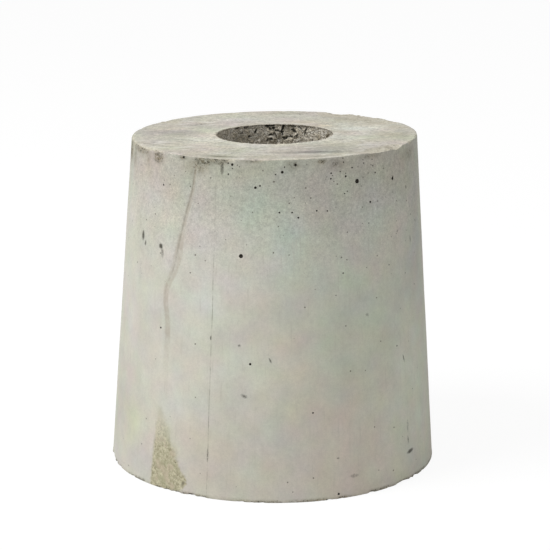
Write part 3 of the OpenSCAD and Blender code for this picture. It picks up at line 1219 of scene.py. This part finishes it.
def bared_socket():
    """Stones, crumbs and weak mortar of the socket wall, painted pale as painted light."""
    material, w = new_finish("Bared socket wall")
    where = w.millimetres()
    fine = w.noise(where, 2.2, 4, 0.8)
    crumbs = w.moved(where, w.scaled(w.noise(where, 5, 2, 0.6, "Color"), 9.0))
    crumb_tone = w.put("SeparateColor", {0: w.cells(crumbs, CRUMB_MM, out="Color")})
    crumb_edge = w.cells(crumbs, CRUMB_MM, feature="DISTANCE_TO_EDGE")
    # stones and crumbs painted far paler than the paste outside: painted light for the socket's
    # shade
    face = w.blend(colour(232, 223, 203), colour(252, 245, 230), w.mark("stone"))
    face = w.blend(face, colour(255, 250, 238), w.ramp(crumb_tone, 0.45, 1.0, 0.0, 0.8))
    # less painted light deeper down, and more on the shaded left side through fewer dark marks
    painted_light_left = w.ramp(w.along(where, 0), -30, 50, 0.7, 1.0)
    painted_light_fade = w.ramp(w.along(where, 2), 375, 330, 0.0, 0.8)
    face = w.blend(face, colour(206, 198, 178), painted_light_fade)
    dull = w.times(w.ramp(crumb_tone, 0.40, 0.0, 0.0, 0.6), painted_light_left)
    face = w.blend(face, colour(204, 194, 174), dull)
    # painted shade in the gaps between crumbs
    face = w.blend(face, colour(108, 98, 80), w.ramp(crumb_edge, 0.09, 0.0, 0.0, 0.5))
    dark = w.times(w.ramp(fine, 0.58, 0.70, 0.0, 0.8), painted_light_left)
    face = w.blend(face, colour(104, 94, 76), dark)
    specks = w.ramp(w.noise(where, 1.5, 2, 0.8), 0.56, 0.66, 0.0, 0.7)
    face = w.blend(face, colour(116, 104, 86), w.times(specks, painted_light_left))
    face = weathered_and_shaded(w, face, where)
    relief = w.plus(fine, w.times(w.ramp(crumb_edge, 0.0, 0.25), 1.5))
    finish_surface(w, face, relief, 0.9, 0.78, 0.95, fine)
    return material


def board_cast_foot():
    """Underside, cast against the mould's board: plain, with the board's grain."""
    material, w = new_finish("Board-cast foot")
    where = w.millimetres()
    mottle = mottled(w, where, colour(188, 184, 168), 0.8, 0.5, 1.0)
    boards = w.noise(w.millimetres((0.06, 1, 1)), 5, 4, 0.6)
    face = w.blend(mottle["Color"], colour(150, 142, 122), w.ramp(boards, 0.5, 0.75, 0.0, 0.5))
    face, _ = pinholed(w, face, where, 6.0, 0.3, colour(90, 84, 70), 0.8)
    face = weathered_and_shaded(w, face, where)
    relief = w.plus(mottle["Grain"], boards)
    finish_surface(w, face, relief, 0.3, 0.75, 0.9, mottle["Grain"])
    return material


# ------------------------------------------------------------------ the piece
SHARP_DEGREES = 42  # edges that turn more than this are shaded crisp


def make_block():
    """Builds the carved block, with a finish on each of its faces."""
    block = carved_block()
    middle = block.run[block.tris[:, :1]] + stepped(
        block.run[block.tris[:, :1]], block.run[block.tris]).mean(1, keepdims=True)
    middle = (middle % LOOP)[:, 0]
    faces = np.select([middle < FOOT_ARRIS, middle < TOP_ARRIS, middle < RUN_AT["mouth"]],
                      [FOOT, SIDE, TOP], WALL)
    mesh = bpy.data.meshes.new("concrete_base_block")
    mesh.from_pydata((block.points * MM).tolist(), [], block.tris.tolist())
    layout = mesh.uv_layers.new(name="OFBake")
    layout.data.foreach_set("uv", laid_out(block, faces).astype(np.float32).ravel())
    for name, values in block.marks.items():
        kept = mesh.attributes.new(name, "FLOAT", "POINT")
        kept.data.foreach_set("value", np.asarray(values, np.float32))
    for finish in (cast_side(), struck_top(), bared_socket(), board_cast_foot()):
        mesh.materials.append(finish)
    mesh.polygons.foreach_set("material_index", faces.astype(np.int32))
    mesh.update()
    mesh.shade_smooth()
    mesh.set_sharp_from_angle(angle=math.radians(SHARP_DEGREES))
    piece = placed("concrete_base_block", mesh)
    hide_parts("base_block")
    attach(piece, "root")


# ------------------------------------------------------------------ stage and light
FLOOR_HALF = 9.0
FLOOR_TONE = (0.86, 0.86, 0.86, 1)  # the floor that lights the block
SHADOW_TONE = (0.16, 0.16, 0.16, 1)  # the part of the seen floor that takes shadow
FLOOR_GLOW = 0.89  # how much of the seen floor's white is its own
ROOM_LIGHT = 0.48
WHITE = (1, 1, 1, 1)
LAMPS = [("Key", (-2.2, -1.0, 3.2), 76.0), ("Left side", (-3.8, -0.6, 1.3), 6.0)]
LAMP_AIM = (0, 0, 0.2)
LAMP_SIZE = 2.0  # metres across


def floor():
    """Plain pale floor, which the camera sees as white with the block's shadow on it."""
    mesh = bpy.data.meshes.new("Floor")
    mesh.from_pydata([(-FLOOR_HALF, -FLOOR_HALF, 0), (FLOOR_HALF, -FLOOR_HALF, 0),
                      (FLOOR_HALF, FLOOR_HALF, 0), (-FLOOR_HALF, FLOOR_HALF, 0)],
                     [], [(0, 1, 2, 3)])
    material, w = new_finish("Pale floor")
    room = w.put("BsdfDiffuse", {"Color": FLOOR_TONE})
    shade = w.put("BsdfDiffuse", {"Color": SHADOW_TONE})
    white = w.put("Emission", {"Color": WHITE, "Strength": FLOOR_GLOW})
    seen = w.put("LightPath", out="Is Camera Ray")
    bright = w.put("AddShader", {0: white, 1: shade})
    w.end(w.put("MixShader", {0: seen, 1: room, 2: bright}))
    mesh.materials.append(material)
    piece = placed("Floor", mesh)


def soft_lamp(name, at, power):
    """A broad round lamp of this power in watts, turned to the block."""
    data = bpy.data.lights.new(name, "AREA")
    data.shape, data.size, data.energy = "DISK", LAMP_SIZE, power
    lamp = placed(name, data)
    lamp.location = at
    lamp.rotation_euler = (Vector(LAMP_AIM) - Vector(at)).to_track_quat("-Z", "Y").to_euler()


def studio():
    """Soft key from the front left over an even, pale room."""
    for lamp in LAMPS:
        soft_lamp(*lamp)
    world = bpy.data.worlds.new("Pale room")
    bpy.context.scene.world = world
    world.use_nodes = True
    w = Wiring(world.node_tree)
    seen = w.maths("MAXIMUM", w.put("LightPath", out="Is Camera Ray"),
                   w.put("LightPath", out="Is Glossy Ray"))
    room = w.put("Background", {"Color": WHITE, "Strength": ROOM_LIGHT})
    white = w.put("Background", {"Color": WHITE, "Strength": 1.0})
    w.end(w.put("MixShader", {0: seen, 1: room, 2: white}), "World")
    bpy.context.scene.view_settings.view_transform = "Standard"


set_camera()
make_block()
floor()
studio()
